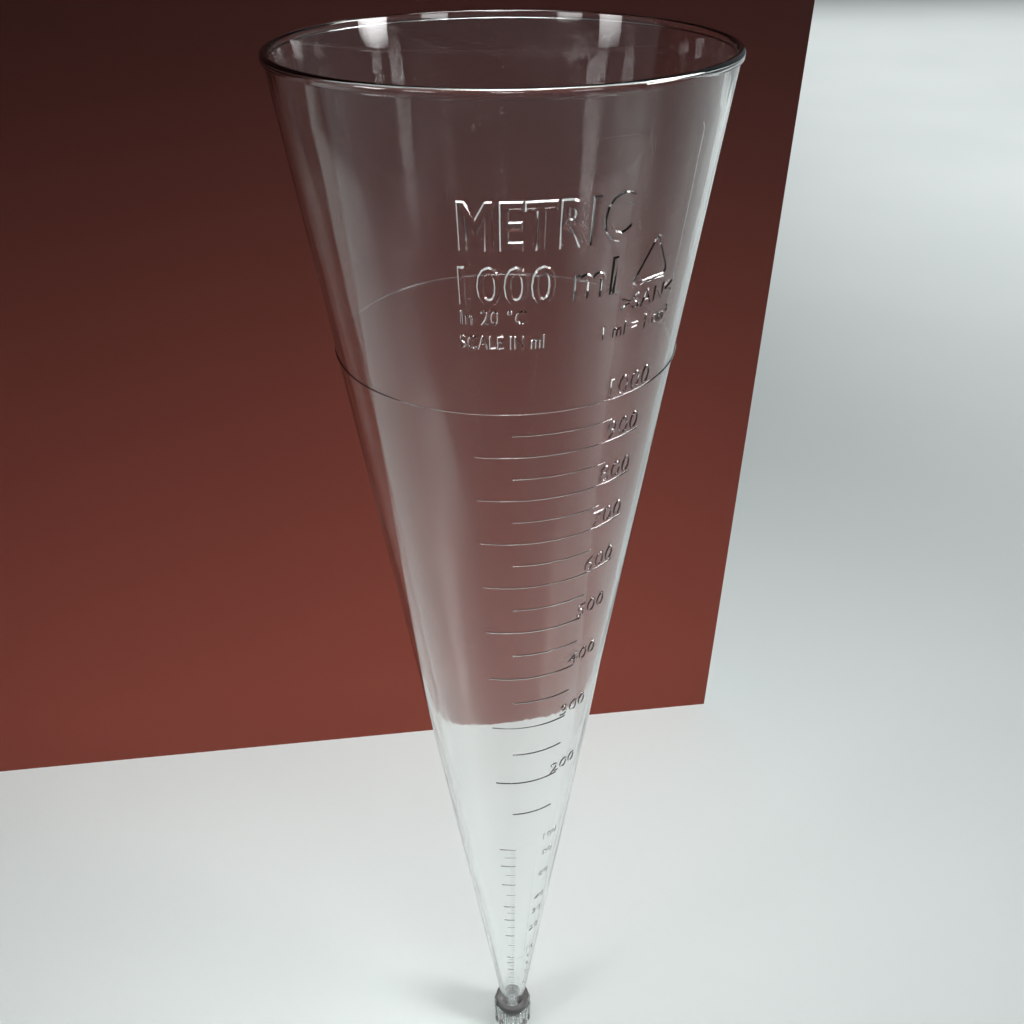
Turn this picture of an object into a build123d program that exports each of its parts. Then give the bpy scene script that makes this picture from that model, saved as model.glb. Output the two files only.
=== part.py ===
from build123d import *
import math
import os

# Imhoff settling cone, 1000 ml, with a screw cap that closes its drain spout.
# It is held upright by a rack's ring, with its cap on the table. Millimetres, +Z up, origin at the
# centre of the cap's flat base.

# ---- driving dimensions ---------------------------------------------------------------
NOMINAL_VOLUME = 1.0e6          # mm3 held below the top graduation
SCALE_HEIGHT = 403.0            # virtual inner apex to the 1000 ml graduation
APEX_Z = -9.0                   # the virtual inner apex lies this far below the cap's base
RIM_HEIGHT = 482.0              # virtual inner apex to the top of the rim

WALL_AT_TIP = 2.2               # horizontal wall thickness at the shoulder above the spout
WALL_AT_RIM = 1.2
RIM_OUTER_R = 59.9
RIM_BEAD_HEIGHT = 2.4
RIM_EDGE_R = 0.6

CAP_HEIGHT = 16.0
CAP_OUTER_R = 9.7
CAP_FLOOR = 2.8
CAP_EDGE = 0.5
FLUTE_COUNT = 12
FLUTE_R = 2.4
FLUTE_DEPTH = 0.75

SEAL_HEIGHT = 4.0
SEAL_OUTER_R = 8.5
SEAL_CLEARANCE = 0.08
SEAL_EDGE = 0.5

SPOUT_CORE_R = 4.3
SPOUT_END_Z = 3.2
DRAIN_BORE_R = 2.5

THREAD_PITCH = 2.5
THREAD_DEPTH = 0.85
THREAD_ROOT_WIDTH = 1.1
THREAD_CREST_WIDTH = 0.5
THREAD_EMBED = 0.2              # the ridge's foot reaches this far into the wall it stands on
THREAD_CLEARANCE = 0.2          # radial, between each ridge and the opposite wall
SPOUT_THREAD = (4.2, 13.2)      # lowest and highest point of each ridge's centre line
CAP_THREAD = (6.5, 13.0)

MARK_WIDTH = 0.5
MARK_HEIGHT = 0.3
MARK_EMBED = 0.4
# where the marks begin and end, as angles round the cone, 0 at the front, positive to the right
SHORT_MARK = (0.0, 33.0)
LONG_MARK = (-12.0, 33.0)
UPPER_LONG_MARK = (-12.0, 47.0)
LOWEST_MARK = (-12.7, 3.0)

# ---- derived --------------------------------------------------------------------------
INNER_SLOPE = math.sqrt(3 * NOMINAL_VOLUME / (math.pi * SCALE_HEIGHT**3))
RIM_Z = APEX_Z + RIM_HEIGHT
SEAL_Z = CAP_HEIGHT
SHOULDER_Z = SEAL_Z
SHOULDER_R = INNER_SLOPE * (SHOULDER_Z - APEX_Z) + WALL_AT_TIP
WALL_TOP_R = INNER_SLOPE * RIM_HEIGHT + WALL_AT_RIM
OUTER_SLOPE = (WALL_TOP_R - SHOULDER_R) / (RIM_Z - SHOULDER_Z)
BORE_TOP_Z = APEX_Z + DRAIN_BORE_R / INNER_SLOPE
SPOUT_CREST_R = SPOUT_CORE_R + THREAD_DEPTH
CAP_BORE_R = SPOUT_CREST_R + THREAD_CLEARANCE


def inner_radius(z):
    return INNER_SLOPE * (z - APEX_Z)


def outer_radius(z):
    return SHOULDER_R + OUTER_SLOPE * (z - SHOULDER_Z)


def volume_z(millilitres):
    """Height of the liquid surface that holds this volume: a cone fills with the cube of its depth."""
    return APEX_Z + SCALE_HEIGHT * (millilitres / 1000.0) ** (1.0 / 3.0)


def revolved(points):
    """Solid of revolution about Z of a closed outline given as (radius, z) points."""
    outline = Polyline([(r, 0, z) for r, z in points], close=True)
    return revolve(make_face(outline), Axis.Z)


def thread_ridge(wall_r, z_range, inward):
    """Right-hand helical ridge on a round wall, standing inward or outward from it."""
    side = -1 if inward else 1
    foot = wall_r - side * THREAD_EMBED
    crest = wall_r + side * THREAD_DEPTH
    low, high = z_range
    path = Helix(pitch=THREAD_PITCH, height=high - low, radius=wall_r, center=(0, 0, low))
    section = Polyline(
        (foot, 0, low - THREAD_ROOT_WIDTH / 2),
        (crest, 0, low - THREAD_CREST_WIDTH / 2),
        (crest, 0, low + THREAD_CREST_WIDTH / 2),
        (foot, 0, low + THREAD_ROOT_WIDTH / 2),
        close=True,
    )
    return sweep(make_face(section), path=path, is_frenet=True)


def mark(z, start, end):
    """Raised line round part of the outer wall, from one angle to another."""
    root = outer_radius(z) - MARK_EMBED
    tip = outer_radius(z) + MARK_HEIGHT
    half = MARK_WIDTH / 2
    outline = Polyline(
        (root, 0, z - half),
        (tip, 0, z - half * 0.6),
        (tip, 0, z + half * 0.6),
        (root, 0, z + half),
        close=True,
    )
    ridge = revolve(make_face(outline), Axis.Z, revolution_arc=end - start)
    # angle 0 is the front, which faces -Y
    return ridge.rotate(Axis.Z, start - 90)


def cone_body():
    """The clear moulding: thin conical wall, rim bead, raised scale and threaded drain spout."""
    bead_z = RIM_Z - RIM_BEAD_HEIGHT
    bead_r = RIM_OUTER_R
    shell = revolved(
        [
            (DRAIN_BORE_R, SPOUT_END_Z),
            (SPOUT_CORE_R, SPOUT_END_Z),
            (SPOUT_CORE_R, SHOULDER_Z),
            (SHOULDER_R, SHOULDER_Z),
            (outer_radius(bead_z), bead_z),
            (bead_r - RIM_EDGE_R, bead_z),
            (bead_r, bead_z + RIM_EDGE_R),
            (bead_r, RIM_Z - RIM_EDGE_R),
            (bead_r - RIM_EDGE_R, RIM_Z),
            (inner_radius(RIM_Z), RIM_Z),
            (DRAIN_BORE_R, BORE_TOP_Z),
        ]
    )
    body = shell + thread_ridge(SPOUT_CORE_R, SPOUT_THREAD, inward=False)
    body += mark(volume_z(100), *LOWEST_MARK)
    for millilitres in range(150, 1000, 100):
        body += mark(volume_z(millilitres), *SHORT_MARK)
    for millilitres in range(200, 600, 100):
        body += mark(volume_z(millilitres), *LONG_MARK)
    for millilitres in range(600, 1000, 100):
        body += mark(volume_z(millilitres), *UPPER_LONG_MARK)
    body += mark(volume_z(1000), 0, 360)
    return body


def sealing_ring():
    """Rubber ring between the cap's top face and the cone; its bore follows the cone."""
    top = SEAL_Z + SEAL_HEIGHT
    return revolved(
        [
            (outer_radius(SEAL_Z) + SEAL_CLEARANCE, SEAL_Z),
            (SEAL_OUTER_R, SEAL_Z),
            (SEAL_OUTER_R, top - SEAL_EDGE),
            (SEAL_OUTER_R - SEAL_EDGE, top),
            (outer_radius(top) + SEAL_CLEARANCE, top),
        ]
    )


def drain_cap():
    """Fluted cap with a flat base and an internal thread."""
    cap = revolved(
        [
            (0, 0),
            (CAP_OUTER_R - CAP_EDGE, 0),
            (CAP_OUTER_R, CAP_EDGE),
            (CAP_OUTER_R, CAP_HEIGHT - CAP_EDGE),
            (CAP_OUTER_R - CAP_EDGE, CAP_HEIGHT),
            (CAP_BORE_R, CAP_HEIGHT),
            (CAP_BORE_R, CAP_FLOOR),
            (0, CAP_FLOOR),
        ]
    )
    for index in range(FLUTE_COUNT):
        centre = Vector(CAP_OUTER_R - FLUTE_DEPTH + FLUTE_R, 0).rotate(Axis.Z, index * 360 / FLUTE_COUNT)
        cap -= Pos(centre.X, centre.Y, CAP_HEIGHT / 2) * Cylinder(FLUTE_R, 2 * CAP_HEIGHT)
    # half a pitch out of step with the spout's ridge, so that the two run in each other's grooves
    ridge = thread_ridge(CAP_BORE_R, CAP_THREAD, inward=True)
    lead = 360 * ((CAP_THREAD[0] - SPOUT_THREAD[0]) / THREAD_PITCH + 0.5)
    return cap + ridge.rotate(Axis.Z, lead)


NODES = {
    "cone_body": cone_body,
    "sealing_ring": sealing_ring,
    "drain_cap": drain_cap,
}

os.makedirs("parts", exist_ok=True)
for name, make in NODES.items():
    export_step(make(), f"parts/{name}.step")
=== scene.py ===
import math

import bpy
import numpy as np
from mathutils import Matrix, Vector
from mathutils.geometry import delaunay_2d_cdt
from mathutils.kdtree import KDTree


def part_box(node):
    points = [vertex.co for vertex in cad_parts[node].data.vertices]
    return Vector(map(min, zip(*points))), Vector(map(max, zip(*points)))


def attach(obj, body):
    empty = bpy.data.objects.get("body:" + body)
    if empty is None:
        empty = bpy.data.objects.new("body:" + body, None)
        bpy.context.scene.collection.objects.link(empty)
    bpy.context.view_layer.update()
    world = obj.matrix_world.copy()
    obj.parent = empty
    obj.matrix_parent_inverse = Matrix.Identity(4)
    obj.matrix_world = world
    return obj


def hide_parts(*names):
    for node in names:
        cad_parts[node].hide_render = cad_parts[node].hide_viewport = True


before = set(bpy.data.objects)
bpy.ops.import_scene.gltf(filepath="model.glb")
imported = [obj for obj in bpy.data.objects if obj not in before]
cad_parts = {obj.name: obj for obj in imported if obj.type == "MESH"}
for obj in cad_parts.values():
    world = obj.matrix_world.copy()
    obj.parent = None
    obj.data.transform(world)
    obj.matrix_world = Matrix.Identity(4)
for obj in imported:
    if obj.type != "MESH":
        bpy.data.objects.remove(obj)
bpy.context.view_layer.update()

# Imhoff settling cone: a clear moulded cone with a raised scale, its rubber sealing ring and its screw cap.
# Shapes are worked out in millimetres and become metres when a mesh is made. Angles round the axis are
# measured from the front, which faces -Y, and grow to the right.

MM = 0.001
CONE_LOW, CONE_HIGH = (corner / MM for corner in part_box("cone_body"))
SEAL_LOW, SEAL_HIGH = (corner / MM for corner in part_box("sealing_ring"))
CAP_LOW, CAP_HIGH = (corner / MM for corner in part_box("drain_cap"))

# ---- cone -------------------------------------------------------------------------------
SCALE_HEIGHT = 403.0            # inner apex to the 1000 ml line
FULL_VOLUME = 1.0e6             # cubic millimetres below that line
APEX_Z = -9.0
RIM_Z = CONE_HIGH.z
RIM_R = min(CONE_HIGH.x, CONE_HIGH.y, -CONE_LOW.x, -CONE_LOW.y)
RIM_BEAD = 2.15                 # height of the bead round the mouth
RIM_ROUND = 1.05
LIP_ROUND = 0.55
BEAD_ROUND = 0.2
BEAD_FILLET = 0.25
WALL_AT_TIP = 2.2
WALL_AT_RIM = 1.2
SHOULDER_Z = SEAL_LOW.z
SPOUT_END_Z = CONE_LOW.z
SPOUT_R = 4.3
SPOUT_CHAMFER = 0.4
SPOUT_FILLET = 0.4              # where the spout meets the shoulder
BORE_R = 2.5
BORE_CHAMFER = 0.3

INNER_SLOPE = math.sqrt(3 * FULL_VOLUME / (math.pi * SCALE_HEIGHT**3))
SHOULDER_R = INNER_SLOPE * (SHOULDER_Z - APEX_Z) + WALL_AT_TIP
OUTER_SLOPE = (INNER_SLOPE * (RIM_Z - APEX_Z) + WALL_AT_RIM - SHOULDER_R) / (RIM_Z - SHOULDER_Z)
OUTER_APEX_Z = SHOULDER_Z - SHOULDER_R / OUTER_SLOPE
STRETCH = math.hypot(1, OUTER_SLOPE)        # length along the wall per unit of height
SIN_CONE = OUTER_SLOPE / STRETCH
COS_CONE = 1 / STRETCH

# ---- threads ----------------------------------------------------------------------------
PITCH = 2.5
THREAD_DEPTH = 0.85
THREAD_ROOT = 1.1
THREAD_CREST = 0.5
THREAD_FADE = 0.12              # share of a turn over which a ridge rises at either end
THREAD_ROW = 0.18
SPOUT_THREAD = (4.2, 13.2)
CAP_THREAD = (6.5, 13.0)
CAP_LEAD = (CAP_THREAD[0] - SPOUT_THREAD[0]) / PITCH + 0.5

# ---- seal and cap -----------------------------------------------------------------------
SEAL_GAP = 0.08
SEAL_ROUND = 0.7                # outer edge at the top
SEAL_EDGE = 0.3                 # the other edges
CAP_FLOOR = 2.8
THREAD_CLEARANCE = 0.2
CAP_BORE_R = SPOUT_R + THREAD_DEPTH + THREAD_CLEARANCE
CAP_BORE_CHAMFER = 0.3
CAP_FLOOR_FILLET = 0.4
CAP_ROUND = 0.6
FLUTES = 12
FLUTE_R = 2.4
FLUTE_DEPTH = 0.75
FLUTE_EASE = 0.12
FOOT_RING_R = 6.6               # the cap stands on the ring outside this radius
FOOT_RING_EDGE = 0.2
FOOT_HOLLOW = 0.4

# ---- raised scale and lettering ---------------------------------------------------------
FIGURE_HEIGHT = 0.73            # height of a figure in the font, per unit of its size
RELIEF = 0.33
BEVEL = 0.20
LETTER_RELIEF = 0.45
LETTER_BEVEL = 0.32
FINE_BEVEL = 0.08               # near the tip, where the lines lie close together
FINE_RELIEF = 0.2
SHORT_LINE = (0, 33)            # the angles that it starts and ends at
LONG_LINE = (-12, 33)
UPPER_LONG_LINE = (-12, 47)
LABELLED_LINE = (-12.7, 3.0, 0.42, 0.22)    # below 150 ml: start, end, width and relief
MIDDLE_LINE = (-8.0, 3.2, 0.30, 0.12)
FINE_LINE = (-3.0, 3.2, 0.24, 0.05)
NUMERAL_ANGLE = 39.0
NUMERAL_HEIGHT = 5.9
NUMERAL_ABOVE = 0.8             # how far a numeral's foot lies above its line
TRIANGLE_PLACE = (39.8, 430.0)  # angle and height of its centre
TRIANGLE_SIZE = 6.4             # centre to the centre of a corner
TRIANGLE_STROKE = 1.6
TRIANGLE_SHRINK = 1.6           # how much its size loses per unit of inset

COLUMNS = 192                   # facets round the cone
CAP_COLUMNS = 288
ROW_STEP = 9.0                  # height of a row of the plain wall
CLEAR_OF_OUTLINES = 0.7         # how far the plain wall's points keep from raised outlines
CLEAR_OF_RINGS = 1.5            # and its rows from the rows of a raised ring


def outer_radius(z):
    return SHOULDER_R + OUTER_SLOPE * (z - SHOULDER_Z)


def inner_radius(z):
    return INNER_SLOPE * (z - APEX_Z)


def volume_z(millilitres):
    """Height of a filling of this volume: a cone fills with the cube of its depth."""
    return APEX_Z + SCALE_HEIGHT * (millilitres / 1000) ** (1 / 3)


def at(radius, z, angle):
    return np.array([radius * math.sin(angle), -radius * math.cos(angle), z])


def arc(centre, size, start, end, steps=5):
    """Points (radius, z) round a centre, from one direction to another in degrees."""
    for i in range(steps + 1):
        a = math.radians(start + (end - start) * i / steps)
        yield centre[0] + size * math.cos(a), centre[1] + size * math.sin(a)


class Shell:
    """A closed skin round the Z axis, made of rings of points that are joined in turn."""

    def __init__(self, columns):
        self.columns = columns
        self.angles = np.linspace(-math.pi, math.pi, columns, endpoint=False)
        self.verts, self.faces = [], []
        self.normals = {}           # exact normal of a face's corner, where it isn't left to Blender
        self.first = self.last = None

    def ring(self, radius, z):
        """A ring of points; radius is a number or a function of the angle and the height."""
        start = len(self.verts)
        for a in self.angles:
            self.verts.append(at(radius(a, z) if callable(radius) else radius, z, a))
        self.follow(list(range(start, start + self.columns)))

    def pole(self, z):
        self.verts.append(at(0, z, 0))
        self.follow([len(self.verts) - 1] * self.columns)

    def follow(self, ring):
        """Joins the last ring to this one. Seen as radius and z, the skin faces right of the way they go."""
        if self.last is not None:
            for k in range(self.columns):
                n = (k + 1) % self.columns
                corners = (self.last[k], self.last[n], ring[n], ring[k])
                self.faces.append(tuple(dict.fromkeys(corners)))
        else:
            self.first = ring
        self.last = ring

    def close(self):
        self.follow(self.first)

    def make(self, name, material, sharp_degrees=40):
        mesh = bpy.data.meshes.new(name)
        mesh.from_pydata([tuple(v * MM) for v in self.verts], [], self.faces)
        mesh.materials.append(material)
        mesh.polygons.foreach_set("use_smooth", [True] * len(self.faces))
        mesh.set_sharp_from_angle(angle=math.radians(sharp_degrees))
        if self.normals:
            # a zero normal leaves the corner to Blender
            corners = ((i, v) for i, face in enumerate(self.faces) for v in face)
            mesh.normals_split_custom_set([self.normals.get(corner, (0, 0, 0)) for corner in corners])
        mesh.update()
        piece = bpy.data.objects.new(name, mesh)
        bpy.context.scene.collection.objects.link(piece)
        return piece


def thread_height(angle, z, z_range, lead=0.0):
    """How far a right-hand thread's ridge stands up at this angle and height; 0 between its turns."""
    low, high = z_range
    turn = (angle - math.pi / 2) / (2 * math.pi) - lead      # ridges start from the +X side
    along = turn + round((z - low) / PITCH - turn)
    total = (high - low) / PITCH
    off = abs(z - low - PITCH * along)
    slope = (THREAD_ROOT / 2 - off) / (THREAD_ROOT - THREAD_CREST) * 2
    fade = min(along, total - along) / THREAD_FADE
    slope, fade = (min(1.0, max(0.0, share)) for share in (slope, fade))
    return THREAD_DEPTH * slope * fade * fade * (3 - 2 * fade)


# ---- relief -----------------------------------------------------------------------------
def tidy(loop, least=0.04):
    """The loop without points that all but coincide."""
    kept = []
    for p in loop:
        if not kept or math.dist(p, kept[-1]) > least:
            kept.append(p)
    if math.dist(kept[0], kept[-1]) <= least:
        kept.pop()
    return kept


def sides(loop):
    return zip(loop, loop[1:] + loop[:1])


def goes_round(loop, p):
    """True if the loop encloses the point."""
    inside = False
    for (x0, y0), (x1, y1) in sides(loop):
        if (y0 > p[1]) != (y1 > p[1]) and p[0] < x0 + (p[1] - y0) * (x1 - x0) / (y1 - y0):
            inside = not inside
    return inside


def moved_in(loop, distance, solid):
    """The loop moved into its letter's stroke with mitred corners. A hole's loop isn't solid, and grows."""
    anticlockwise = sum(x0 * y1 - x1 * y0 for (x0, y0), (x1, y1) in sides(loop)) > 0
    side = distance if anticlockwise == solid else -distance
    moved = []
    for before, p, after in zip(loop[-1:] + loop[:-1], loop, loop[1:] + loop[:1]):
        d0 = Vector((p[0] - before[0], p[1] - before[1])).normalized()
        d1 = Vector((after[0] - p[0], after[1] - p[1])).normalized()
        n0, n1 = Vector((-d0.y, d0.x)), Vector((-d1.y, d1.x))
        shift = (n0 + n1) / max(0.5, 1 + n0.dot(n1)) * side
        moved.append((p[0] + shift.x, p[1] + shift.y))
    return moved


def round_box(half_x, half_y, corner, step=2.0, turns=6):
    """Outline of a box with round corners, about its centre."""
    outline = []
    for sx, sy, start in ((1, -1, -90), (1, 1, 0), (-1, 1, 90), (-1, -1, 180)):
        centre = (sx * (half_x - corner), sy * (half_y - corner))
        outline += arc(centre, corner, start, start + 90, turns)
    dense = []
    for p, q in sides(outline):
        parts = max(1, round(math.dist(p, q) / step))
        dense += [(p[0] + (q[0] - p[0]) * i / parts, p[1] + (q[1] - p[1]) * i / parts) for i in range(parts)]
    return dense


def text_loops(words, spacing):
    """Outlines of a line of text, one unit high in its figures, starting at x = 0 on y = 0."""
    curve = bpy.data.curves.new("lettering", "FONT")
    curve.body = words
    curve.fill_mode = "NONE"
    curve.resolution_u = 3
    curve.space_character = spacing
    holder = bpy.data.objects.new("lettering", curve)
    bpy.context.scene.collection.objects.link(holder)
    mesh = bpy.data.meshes.new_from_object(holder.evaluated_get(bpy.context.evaluated_depsgraph_get()))
    near = {}
    for edge in mesh.edges:
        a, b = edge.vertices
        near.setdefault(a, []).append(b)
        near.setdefault(b, []).append(a)
    left = min(v.co.x for v in mesh.vertices)
    loops, seen = [], set()
    for start in sorted(near):
        loop, before, here = [], None, start
        while here not in seen:
            seen.add(here)
            co = mesh.vertices[here].co
            loop.append(((co.x - left) / FIGURE_HEIGHT, co.y / FIGURE_HEIGHT))
            before, here = here, next(n for n in near[here] if n != before)
        if loop:
            loops.append(loop)
    bpy.data.objects.remove(holder)
    bpy.data.curves.remove(curve)
    bpy.data.meshes.remove(mesh)
    return loops


class Relief:
    """The cone's outer wall rolled out flat, with raised outlines set into its triangles."""

    def __init__(self):
        self.points, self.heights, self.edges = [], [], []
        self.round_tops = set()     # points where a bevel rounds over into the top of its stroke
        self.seam = []              # (distance from the apex, left point, right point)

    def local(self, angle, z, x, y):
        """Point on the flat sheet that lies x along and y up the wall from an angle and a height."""
        slant = (z - OUTER_APEX_Z) * STRETCH
        turn = angle * SIN_CONE + x / slant
        return (slant + y) * math.sin(turn), (slant + y) * math.cos(turn)

    def on_wall(self, p, lift):
        """The point in space that lies above a point of the flat sheet."""
        slant = math.hypot(*p)
        radius = slant * SIN_CONE + lift * COS_CONE
        z = OUTER_APEX_Z + slant * COS_CONE - lift * SIN_CONE
        return at(radius, z, math.atan2(p[0], p[1]) / SIN_CONE)

    def add(self, points, height, closed=True):
        first, count = len(self.points), len(points)
        self.points += points
        self.heights += [height] * count
        for i in range(count if closed else count - 1):
            self.edges.append((first + i, first + (i + 1) % count))
        return first

    def outline(self, loop, angle, z, height):
        self.add([self.local(angle, z, x, y) for x, y in loop], height)

    def text(
        self, words, z, height, start=None, end=None, middle=None,
        weight=0.0, spacing=1.0, lift=RELIEF, bevel=BEVEL,
    ):
        """Raised text that stands on height z. It fills the angles from start to end, or is set about a
        middle. Weight moves its outlines out, for bolder strokes."""
        loops = text_loops(words, spacing)
        width = max(x for loop in loops for x, _ in loop)
        around = outer_radius(z + height / 2)
        if middle is None:
            stretch = math.radians(end - start) * around / width
            angle = math.radians(start)
            shift = 0.0
        else:
            stretch = height
            angle = math.radians(middle)
            shift = -width * height / 2
        loops = [tidy([(x * stretch + shift, y * height) for x, y in loop]) for loop in loops]
        for loop in loops:
            solid = sum(goes_round(other, loop[0]) for other in loops if other is not loop) % 2 == 0
            foot = moved_in(loop, -weight, solid)
            self.outline(foot, angle, z, 0.0)
            self.outline(moved_in(foot, bevel, solid), angle, z, lift)

    def line(self, z, start, end, width=0.5, lift=RELIEF, bevel=BEVEL):
        """Raised line round part of the wall, from one angle to another in degrees."""
        reach = math.radians(end - start) * outer_radius(z)
        steps = max(2, math.ceil((end - start) * COLUMNS / 360))
        for inset, height in ((0.0, 0.0), (bevel, lift)):
            half = width / 2 - inset
            xs = [inset + (reach - 2 * inset) * i / steps for i in range(steps + 1)]
            loop = [(x, -half) for x in xs] + [(x, half) for x in reversed(xs)]
            self.outline(loop, math.radians(start), z, height)
        self.round_tops.update(range(len(self.points) - len(loop), len(self.points)))

    def frame(self, start, end, low, high, width=0.7, lift=0.07, corner=3.0):
        """Faint raised outline that a mould insert leaves, with round corners."""
        middle = (low + high) / 2
        angle = math.radians((start + end) / 2)
        half_x = math.radians(end - start) / 2 * outer_radius(middle)
        half_y = (high - low) / 2
        for inset, height in ((0.0, 0.0), (width / 2, lift), (width, 0.0)):
            self.outline(round_box(half_x - inset, half_y - inset, corner - inset), angle, middle, height)

    def band(self, z, offset, height):
        """A row of points all round the wall, from the seam at the back to the seam again."""
        slant = (z - OUTER_APEX_Z) * STRETCH + offset
        turns = np.linspace(-math.pi, math.pi, COLUMNS + 1) * SIN_CONE
        first = self.add([(slant * math.sin(t), slant * math.cos(t)) for t in turns], height, closed=False)
        self.seam.append((slant, first, first + COLUMNS))
        return first

    def ring(self, z, width=0.5, lift=RELIEF, bevel=BEVEL):
        """Raised line all round the wall."""
        for offset, height in ((0, 0), (bevel, lift), (width - bevel, lift), (width, 0)):
            first = self.band(z, offset - width / 2, height)
            if height:
                self.round_tops.update(range(first, first + COLUMNS + 1))

    def fill(self, low, high):
        """Points of the plain wall between two slant heights, clear of the raised outlines."""
        near = KDTree(len(self.points))
        for i, p in enumerate(self.points):
            near.insert((*p, 0), i)
        near.balance()
        turns = np.linspace(-math.pi, math.pi, COLUMNS + 1) * SIN_CONE
        rings = [slant for slant, _, _ in self.seam]
        for slant in np.linspace(low, high, round((high - low) / ROW_STEP) + 1)[1:-1]:
            if min(abs(slant - ring) for ring in rings) < CLEAR_OF_RINGS:
                continue
            ends = []
            for k, t in enumerate(turns):
                p = (slant * math.sin(t), slant * math.cos(t))
                if 0 < k < COLUMNS and near.find((*p, 0))[2] < CLEAR_OF_OUTLINES:
                    continue
                if k in (0, COLUMNS):
                    ends.append(len(self.points))
                self.points.append(p)
                self.heights.append(0.0)
            self.seam.append((slant, *ends))

    def join(self, shell, low_z, high_z):
        """Adds the wall to the shell, between two heights, and makes its top ring the shell's last."""
        bottom = self.band(low_z, 0, 0.0)
        top = self.band(high_z, 0, 0.0)
        self.fill((low_z - OUTER_APEX_Z) * STRETCH, (high_z - OUTER_APEX_Z) * STRETCH)
        self.seam.sort()
        for below, above in zip(self.seam, self.seam[1:]):
            self.edges += [(below[1], above[1]), (below[2], above[2])]
        points = [Vector(p) for p in self.points]
        flat, _, faces, origins, _, _ = delaunay_2d_cdt(points, self.edges, [], 1, 1e-6)
        twin = {right: left for _, left, right in self.seam}
        place, known, lifts, rounded = [], {}, {}, set()
        for p, found in zip(flat, origins):
            source = twin.get(found[0], found[0]) if found else None
            if source is not None and source in known:
                place.append(known[source])
                continue
            # a point where two outlines cross belongs to the top of a stroke
            height = max(self.heights[i] for i in found) if found else RELIEF
            place.append(len(shell.verts))
            lifts[len(shell.verts)] = height
            if not self.round_tops.isdisjoint(found):
                rounded.add(len(shell.verts))
            if source is not None:
                known[source] = len(shell.verts)
            shell.verts.append(self.on_wall(p, height))
        for face in faces:
            corners = tuple(place[i] for i in face)
            if len(set(corners)) < 3:
                continue
            level = len({lifts[v] for v in corners}) == 1
            for v in corners:
                if level or v in rounded:
                    x, y, _ = shell.verts[v]
                    r = math.hypot(x, y)
                    shell.normals[(len(shell.faces), v)] = (x / r * COS_CONE, y / r * COS_CONE, -SIN_CONE)
            shell.faces.append(corners)
        shell.first = [known[bottom + k] for k in range(COLUMNS)]
        shell.last = [known[top + k] for k in range(COLUMNS)]


def raise_scale(relief):
    """The graduations and their numerals. Lines lie closer and finer towards the tip."""
    relief.ring(volume_z(1000))
    for volume in range(200, 1001, 100):
        foot = volume_z(volume) + NUMERAL_ABOVE
        relief.text(str(volume), foot, NUMERAL_HEIGHT, middle=NUMERAL_ANGLE, weight=0.06, spacing=1.06)
    for volume in range(200, 1000, 100):
        relief.line(volume_z(volume), *(UPPER_LONG_LINE if volume > 500 else LONG_LINE))
    for volume in range(150, 1000, 100):
        relief.line(volume_z(volume), *SHORT_LINE)
    # volume: (height of its numeral, how far the numeral's foot lies above the line)
    numerals = {
        100: (4.2, 1.9), 80: (4.2, 2.2), 60: (4.2, 0.8), 40: (4.2, 0.5), 30: (4.2, 0.8), 20: (4.2, 0.9),
        10: (3.5, 2.4), 8: (2.8, 0.9), 6: (2.8, 0.8), 4: (2.6, 0.7), 2: (2.4, 0.6),
    }
    fine = {"lift": FINE_RELIEF, "bevel": FINE_BEVEL}
    for volume, (height, above) in numerals.items():
        relief.text(str(volume), volume_z(volume) + above, height, middle=NUMERAL_ANGLE, **fine)
    tenths = [*range(5, 20), *range(20, 100, 5), *range(100, 400, 10), *range(400, 1001, 20)]
    for volume in (tenth / 10 for tenth in tenths):
        if volume in numerals:
            kind = LABELLED_LINE
        elif volume % (5 if volume > 10 else 1) == 0:
            kind = MIDDLE_LINE
        else:
            kind = FINE_LINE
        relief.line(volume_z(volume), *kind, FINE_BEVEL)


def raise_legend(relief):
    """Generic legend above the scale, inside the faint outline of its mould insert."""
    bold = {"lift": LETTER_RELIEF, "bevel": LETTER_BEVEL}
    relief.text("METRIC", 439.0, 11.3, start=-12, end=28.6, weight=0.55, spacing=1.15, **bold)
    relief.text("1000 ml", 425.4, 9.8, start=-13, end=26.4, weight=0.28, spacing=1.05, **bold)
    relief.text("In 20 °C", 420.0, 3.9, start=-13.3, end=3.5, weight=0.08, spacing=1.08)
    relief.text("SCALE IN ml", 413.4, 3.9, start=-13.8, end=8.3, weight=0.08, spacing=1.08)
    relief.text(">SAN<", 419.6, 4.4, start=30, end=50, weight=0.1, spacing=1.05)
    relief.text("1 ml = 1 cm³", 413.0, 3.9, start=25, end=50, weight=0.05, spacing=1.05)
    angle, middle = TRIANGLE_PLACE
    inner_bevel = TRIANGLE_STROKE - LETTER_BEVEL
    for inset, height in ((0.0, 0.0), (LETTER_BEVEL, RELIEF), (inner_bevel, RELIEF), (TRIANGLE_STROKE, 0.0)):
        relief.outline(triangle(TRIANGLE_SIZE - TRIANGLE_SHRINK * inset), math.radians(angle), middle, height)
    relief.frame(-15, 51, 411.3, 462.5)
    relief.frame(4.4, 26, 75, 180, width=0.5, lift=0.05, corner=1.6)


def triangle(size, corner=1.2):
    """Outline of a triangle with round corners about its centre, pointing up."""
    outline = []
    for turn in (90, 210, 330):
        a = math.radians(turn)
        outline += arc((size * math.cos(a), size * math.sin(a)), corner, turn - 60, turn + 60, 4)
    return outline


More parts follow.
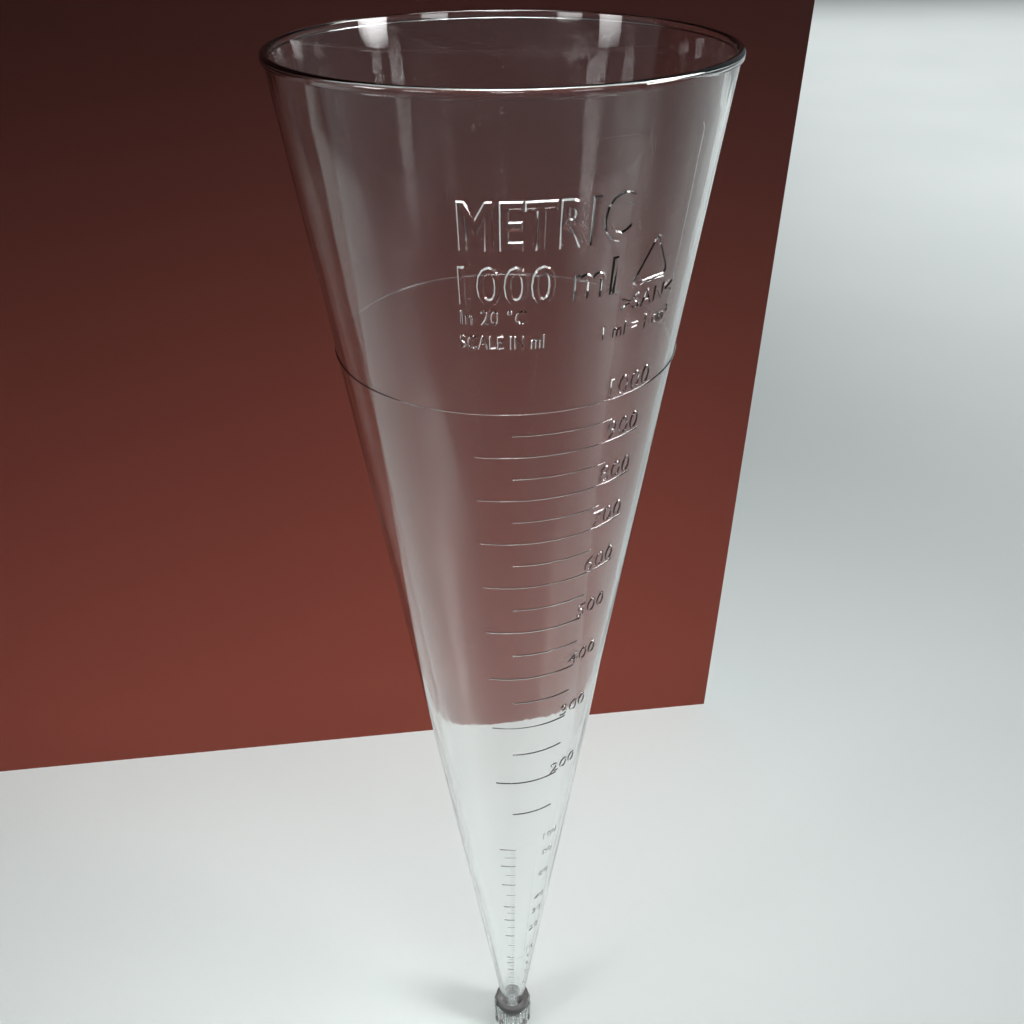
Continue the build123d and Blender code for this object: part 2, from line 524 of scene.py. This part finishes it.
# ---- pieces -----------------------------------------------------------------------------
def make_cone(material):
    """The whole clear moulding, as one closed skin: wall, rim, inside, bore and threaded spout."""
    shell = Shell(COLUMNS)
    relief = Relief()
    raise_scale(relief)
    raise_legend(relief)
    wall_top = RIM_Z - RIM_BEAD - BEAD_FILLET
    relief.join(shell, SHOULDER_Z, wall_top)
    bead_low = RIM_Z - RIM_BEAD
    fillet = (outer_radius(wall_top) + BEAD_FILLET, wall_top)
    profile = list(arc(fillet, BEAD_FILLET, 180, 90))[1:]
    profile += arc((RIM_R - BEAD_ROUND, bead_low + BEAD_ROUND), BEAD_ROUND, -90, 0)
    profile += arc((RIM_R - RIM_ROUND, RIM_Z - RIM_ROUND), RIM_ROUND, 0, 90)
    lip_r = inner_radius(RIM_Z)
    profile += arc((lip_r + LIP_ROUND, RIM_Z - LIP_ROUND), LIP_ROUND, 90, 180)
    bore_top = APEX_Z + BORE_R / INNER_SLOPE
    inner_top = RIM_Z - LIP_ROUND - 0.6
    profile += [(inner_radius(z), z) for z in np.linspace(inner_top, bore_top, 48)]
    profile += [(BORE_R, z) for z in np.linspace(bore_top - 1, SPOUT_END_Z + BORE_CHAMFER, 6)]
    profile += [(BORE_R + BORE_CHAMFER, SPOUT_END_Z), (SPOUT_R - SPOUT_CHAMFER, SPOUT_END_Z)]
    for radius, z in profile:
        shell.ring(radius, z)

    def spout(angle, z):
        return SPOUT_R + thread_height(angle, z, SPOUT_THREAD)

    spout_low, spout_high = SPOUT_END_Z + SPOUT_CHAMFER, SHOULDER_Z - SPOUT_FILLET
    for z in np.linspace(spout_low, spout_high, round((spout_high - spout_low) / THREAD_ROW)):
        shell.ring(spout, z)
    for radius, z in arc((SPOUT_R + SPOUT_FILLET, spout_high), SPOUT_FILLET, 180, 90, 3):
        shell.ring(radius, z)
    shell.close()
    return shell.make("clear_cone", material)


def make_seal(material):
    """Rubber ring whose bore follows the cone."""
    shell = Shell(COLUMNS)
    low, high, outer = SEAL_LOW.z, SEAL_HIGH.z, min(SEAL_HIGH.x, SEAL_HIGH.y)
    profile = [*arc((outer - SEAL_EDGE, low + SEAL_EDGE), SEAL_EDGE, -90, 0, 3)]
    profile += arc((outer - SEAL_ROUND, high - SEAL_ROUND), SEAL_ROUND, 0, 90, 6)
    profile += arc((outer_radius(high) + SEAL_GAP + SEAL_EDGE, high - SEAL_EDGE), SEAL_EDGE, 90, 180, 3)
    profile += [(outer_radius(z) + SEAL_GAP, z) for z in (high - 1.5, low + 1.5, low)]
    for radius, z in profile:
        shell.ring(radius, z)
    shell.close()
    return shell.make("rubber_seal", material)


def make_cap(material):
    """Fluted screw cap with a ring foot, a closed floor and an internal thread."""
    shell = Shell(CAP_COLUMNS)
    cap_r = min(CAP_HIGH.x, CAP_HIGH.y)
    top = CAP_HIGH.z

    def grip(inset):
        """Radius of the fluted side as a function, with each flute eased into the lands beside it."""
        centre = cap_r - FLUTE_DEPTH + FLUTE_R

        def radius(angle, z):
            away = (angle + math.pi / FLUTES) % (2 * math.pi / FLUTES) - math.pi / FLUTES
            off = min(FLUTE_R, abs(centre * math.sin(away)))
            cut = centre * math.cos(away) - math.sqrt(FLUTE_R**2 - off**2)
            return -FLUTE_EASE * math.log(math.exp(-cap_r / FLUTE_EASE) + math.exp(-cut / FLUTE_EASE)) - inset

        return radius

    shell.pole(FOOT_HOLLOW)
    shell.ring(3.0, FOOT_HOLLOW)
    shell.ring(FOOT_RING_R - 0.3, FOOT_HOLLOW)
    shell.ring(FOOT_RING_R, FOOT_HOLLOW - 0.1)
    shell.ring(FOOT_RING_R + FOOT_RING_EDGE, 0.0)
    for i in range(6):
        a = math.radians(90 * i / 5)
        shell.ring(grip(CAP_ROUND * (1 - math.sin(a))), CAP_ROUND * (1 - math.cos(a)))
    for z in np.linspace(1.5, top - 1.5, 8):
        shell.ring(grip(0.0), z)
    for i in range(6):
        a = math.radians(90 * i / 5)
        shell.ring(grip(CAP_ROUND * (1 - math.cos(a))), top - CAP_ROUND * (1 - math.sin(a)))
    shell.ring(CAP_BORE_R + CAP_BORE_CHAMFER, top)
    shell.ring(CAP_BORE_R, top - CAP_BORE_CHAMFER)

    def bore(angle, z):
        return CAP_BORE_R - thread_height(angle, z, CAP_THREAD, CAP_LEAD)

    bore_low, bore_high = CAP_FLOOR + CAP_FLOOR_FILLET, top - 2 * CAP_BORE_CHAMFER
    for z in np.linspace(bore_high, bore_low, round((bore_high - bore_low) / THREAD_ROW)):
        shell.ring(bore, z)
    for radius, z in arc((CAP_BORE_R - CAP_FLOOR_FILLET, bore_low), CAP_FLOOR_FILLET, 0, -90, 3):
        shell.ring(radius, z)
    shell.ring(2.5, CAP_FLOOR)
    shell.pole(CAP_FLOOR)
    return shell.make("screw_cap", material)


# ---- materials --------------------------------------------------------------------------
class Shader:
    """A material's node tree, built a node at a time. Textures follow the object's coordinates, in metres."""

    def __init__(self, name):
        self.material = bpy.data.materials.new(name)
        self.material.use_nodes = True
        self.tree = self.material.node_tree
        self.tree.nodes.clear()
        self.place = self.add("ShaderNodeTexCoord").outputs["Object"]

    def add(self, kind, inputs=None, **settings):
        node = self.tree.nodes.new(kind)
        for key, value in settings.items():
            setattr(node, key, value)
        for key, value in (inputs or {}).items():
            if isinstance(value, bpy.types.NodeSocket):
                self.tree.links.new(value, node.inputs[key])
            else:
                node.inputs[key].default_value = value
        return node

    def noise(self, scale, detail=3.0, stretch=(1, 1, 1), roughness=0.55):
        """Noise with this many features a metre; a stretch under 1 draws them out along that axis."""
        mapped = self.add("ShaderNodeMapping", {"Vector": self.place, "Scale": stretch})
        return self.add(
            "ShaderNodeTexNoise",
            {"Vector": mapped.outputs[0], "Scale": scale, "Detail": detail, "Roughness": roughness},
        ).outputs["Fac"]

    def ramp(self, value, low, high, start=0.0, end=1.0):
        """The value's range from start to end, spread over low to high."""
        return self.add(
            "ShaderNodeMapRange",
            {"Value": value, "From Min": start, "From Max": end, "To Min": low, "To Max": high},
        ).outputs[0]

    def blend(self, share, low, high):
        """A colour between two others."""
        mix = self.add("ShaderNodeMix", data_type="RGBA")
        self.tree.links.new(share, mix.inputs[0])
        mix.inputs[6].default_value = (*low, 1)
        mix.inputs[7].default_value = (*high, 1)
        return mix.outputs[2]

    def math(self, operation, *values):
        node = self.add("ShaderNodeMath", operation=operation)
        for socket, value in zip(node.inputs, values):
            if isinstance(value, bpy.types.NodeSocket):
                self.tree.links.new(value, socket)
            else:
                socket.default_value = value
        return node.outputs[0]

    def bump(self, height, distance, strength=1.0):
        return self.add(
            "ShaderNodeBump", {"Height": height, "Distance": distance, "Strength": strength}
        ).outputs[0]

    def finish(self, surface):
        self.add("ShaderNodeOutputMaterial", {"Surface": surface})
        return self.material


def clear_plastic(name, tint, shadow, haze):
    """Clear moulded plastic: flow lines drawn out along the piece, faint wipe marks and a little dust."""
    shader = Shader(name)
    flow = shader.noise(150, 2.0, stretch=(1, 1, 0.03))
    sag = shader.noise(28, 1.0, stretch=(1, 1, 0.25))
    smear = shader.noise(22, 4.0, stretch=(1, 1, 0.45), roughness=0.7)
    dust = shader.noise(2600, 1.0)
    worn = shader.ramp(smear, 0.0, haze, 0.52, 0.75)
    speck = shader.ramp(dust, 0.0, 0.25, 0.74, 0.80)
    roughness = shader.math("ADD", shader.math("ADD", worn, speck), 0.015)
    relief = shader.math("ADD", shader.math("MULTIPLY", flow, 0.35), sag)
    colour = shader.blend(flow, tint, tuple(min(1.0, c * 1.02) for c in tint))
    body = shader.add(
        "ShaderNodeBsdfPrincipled",
        {
            "Base Color": colour,
            "Roughness": roughness,
            "Normal": shader.bump(relief, 0.00012),
            "IOR": 1.567,
            "Transmission Weight": 1.0,
        },
    )
    # the lamps shine through it, and it throws a faint shadow
    through = shader.add("ShaderNodeBsdfTransparent", {"Color": (*shadow, 1)}).outputs[0]
    to_lamp = shader.add("ShaderNodeLightPath").outputs["Is Shadow Ray"]
    mix = shader.add("ShaderNodeMixShader", {0: to_lamp, 1: body.outputs[0], 2: through})
    return shader.finish(mix.outputs[0])


def black_rubber(name):
    """Dark grey rubber with a fine grain, paler where it has been rubbed."""
    shader = Shader(name)
    grain = shader.noise(3500, 3.0)
    rubbed = shader.noise(260, 4.0, roughness=0.65)
    paler = shader.ramp(rubbed, 0.0, 1.0, 0.4, 0.75)
    colour = shader.blend(paler, (0.040, 0.037, 0.037), (0.095, 0.090, 0.088))
    body = shader.add(
        "ShaderNodeBsdfPrincipled",
        {
            "Base Color": colour,
            "Roughness": shader.ramp(rubbed, 0.36, 0.60, 0.3, 0.75),
            "Normal": shader.bump(grain, 0.00006),
        },
    )
    return shader.finish(body.outputs[0])


def pale_floor(name):
    """Smooth off-white floor with a soft sheen."""
    shader = Shader(name)
    cloud = shader.noise(3, 3.0)
    body = shader.add(
        "ShaderNodeBsdfPrincipled",
        {
            "Base Color": shader.blend(cloud, (0.64, 0.69, 0.675), (0.70, 0.745, 0.73)),
            "Roughness": shader.ramp(cloud, 0.32, 0.42),
        },
    )
    return shader.finish(body.outputs[0])


def backdrop_card(name):
    """Plain maroon card with painted shade that makes it darker upwards. Only its front shows, so that it
    never hides the object.
    """
    shader = Shader(name)
    height = shader.add("ShaderNodeSeparateXYZ", {0: shader.place}).outputs["Z"]
    # painted shade: the card's colour blends from a deeper maroon at its foot to near black towards its top
    painted_shade_upwards = shader.ramp(height, 0, 1, 0.05, 0.45)
    body = shader.add(
        "ShaderNodeBsdfPrincipled",
        {
            "Base Color": shader.blend(painted_shade_upwards, (0.19, 0.042, 0.028), (0.05, 0.013, 0.010)),
            "Roughness": shader.ramp(shader.noise(2, 3.0), 0.5, 0.7),
            "Specular IOR Level": 0.12,
        },
    )
    side = shader.add("ShaderNodeNewGeometry").outputs["Backfacing"]
    away = shader.add("ShaderNodeBsdfTransparent")
    mix = shader.add("ShaderNodeMixShader", {0: side, 1: body.outputs[0], 2: away.outputs[0]})
    return shader.finish(mix.outputs[0])


# ---- studio, in metres --------------------------------------------------------------------
CAMERA_PLACE = (-0.00848, -0.26025, 0.51064)
CAMERA_TURN = (34.86, 2.21, -0.40)          # degrees down from the level, to the right, and of roll
CAMERA_LENS = 33.04                         # millimetres, on a sensor 36 mm wide
FLOOR_HALF = 6.0
CARD_LEFT, CARD_RIGHT, CARD_TOP = (-1.2, 0.112), (0.15, 0.219), 1.1
AIM = (0, 0.05, 0.15)                       # of the windows
ACCENT_AIM = (0, 0, 0.35)


def sheet(name, corners, material):
    mesh = bpy.data.meshes.new(name)
    mesh.from_pydata(corners, [], [tuple(range(len(corners)))])
    mesh.materials.append(material)
    piece = bpy.data.objects.new(name, mesh)
    bpy.context.scene.collection.objects.link(piece)
    return piece


def softbox(name, place, aim, size, power, spread):
    """Rectangular lamp aimed at a point; its light stays within the spread, in degrees."""
    lamp = bpy.data.lights.new(name, "AREA")
    lamp.shape = "RECTANGLE"
    lamp.size, lamp.size_y = size
    lamp.energy = power
    lamp.spread = math.radians(spread)
    holder = bpy.data.objects.new(name, lamp)
    bpy.context.scene.collection.objects.link(holder)
    holder.location = place
    holder.rotation_euler = (Vector(aim) - Vector(place)).to_track_quat("-Z", "Y").to_euler()
    return holder


def set_camera():
    """A viewpoint close before the mouth and a little above it, looking down the cone."""
    data = bpy.data.cameras.new("camera")
    data.sensor_width = 36.0
    data.lens = CAMERA_LENS
    data.clip_start, data.clip_end = 0.01, 50
    camera = bpy.data.objects.new("camera", data)
    bpy.context.scene.collection.objects.link(camera)
    pitch, yaw, roll = (math.radians(angle) for angle in CAMERA_TURN)
    forward = Vector((math.sin(yaw) * math.cos(pitch), math.cos(yaw) * math.cos(pitch), -math.sin(pitch)))
    right = forward.cross(Vector((0, 0, 1))).normalized()
    up = right.cross(forward)
    right, up = right * math.cos(roll) + up * math.sin(roll), up * math.cos(roll) - right * math.sin(roll)
    axes = Matrix((right, up, -forward)).transposed().to_4x4()
    camera.matrix_world = Matrix.Translation(CAMERA_PLACE) @ axes
    bpy.context.scene.camera = camera


def set_world():
    world = bpy.data.worlds.new("studio")
    world.use_nodes = True
    sky = world.node_tree.nodes["Background"].inputs
    sky["Color"].default_value = (0.86, 0.93, 1.0, 1)
    sky["Strength"].default_value = 0.16
    bpy.context.scene.world = world
    bpy.context.scene.view_settings.view_transform = "Standard"


def set_studio():
    floor_z = CAP_LOW.z * MM
    corners = [(-1, -1), (1, -1), (1, 1), (-1, 1)]
    floor = [(x * FLOOR_HALF, y * FLOOR_HALF, floor_z) for x, y in corners]
    sheet("floor", floor, pale_floor("pale_floor"))
    card = [(*CARD_LEFT, 0), (*CARD_RIGHT, 0), (*CARD_RIGHT, CARD_TOP), (*CARD_LEFT, CARD_TOP)]
    backdrop = sheet("backdrop", card, backdrop_card("backdrop_card"))
    backdrop.visible_shadow = False
    # the banks light the floor beside and behind the object, and leave the floor before it dim
    softbox("bank", (0.25, 0.15, 1.6), (0.25, 0.15, 0), (3.0, 0.5), 1.7, spread=46)
    softbox("far_bank", (2.0, 2.3, 1.9), (2.0, 2.3, 0), (3.4, 3.6), 44.0, spread=60)
    softbox("side_bank", (0.80, -0.42, 1.5), (0.80, -0.42, 0), (0.6, 0.25), 0.9, spread=24)
    # the windows draw the bright bands down the two sides of the cone
    softbox("right_window", (1.42, -0.41, 0.74), AIM, (0.5, 0.5), 1.5, spread=36)
    softbox("left_window", (-1.32, -0.65, 0.74), AIM, (0.35, 0.6), 0.5, spread=36)


def set_accents(piece):
    """Lamps that light one clear piece alone, and draw its rim and its raised marks."""
    receivers = bpy.data.collections.new("moulding")
    receivers.objects.link(piece)
    for name, place, size, power in (
        ("left_accent", (-1.0, -1.2, 0.95), (0.4, 0.3), 0.35),
        ("middle_accent", (0, -1.5, 1.3), (0.4, 0.3), 0.7),
        ("right_accent", (0.9, -1.25, 0.95), (0.4, 0.3), 0.35),
        ("top_accent", (0.1, -0.1, 1.8), (1.0, 0.7), 6.0),
        ("top_right_accent", (1.1, 0.1, 1.25), (0.6, 0.7), 5.0),
    ):
        accent = softbox(name, place, ACCENT_AIM, size, power, spread=60)
        accent.light_linking.receiver_collection = receivers


# ---- scene ------------------------------------------------------------------------------
cone_plastic = clear_plastic(
    "clear_moulding", tint=(0.972, 0.990, 0.984), shadow=(0.92, 0.94, 0.935), haze=0.10
)
cap_plastic = clear_plastic(
    "cap_moulding", tint=(0.93, 0.955, 0.95), shadow=(0.38, 0.40, 0.40), haze=0.16
)
cone = make_cone(cone_plastic)
seal = make_seal(black_rubber("seal_rubber"))
cap = make_cap(cap_plastic)
for piece, node, body, slot in (
    (cone, "cone_body", "cone", "clear_moulding"),
    (seal, "sealing_ring", "seal", "seal_rubber"),
    (cap, "drain_cap", "cap", "cap_moulding"),
):
    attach(piece, body)
    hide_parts(node)

set_world()
set_studio()
set_accents(cone)
set_camera()
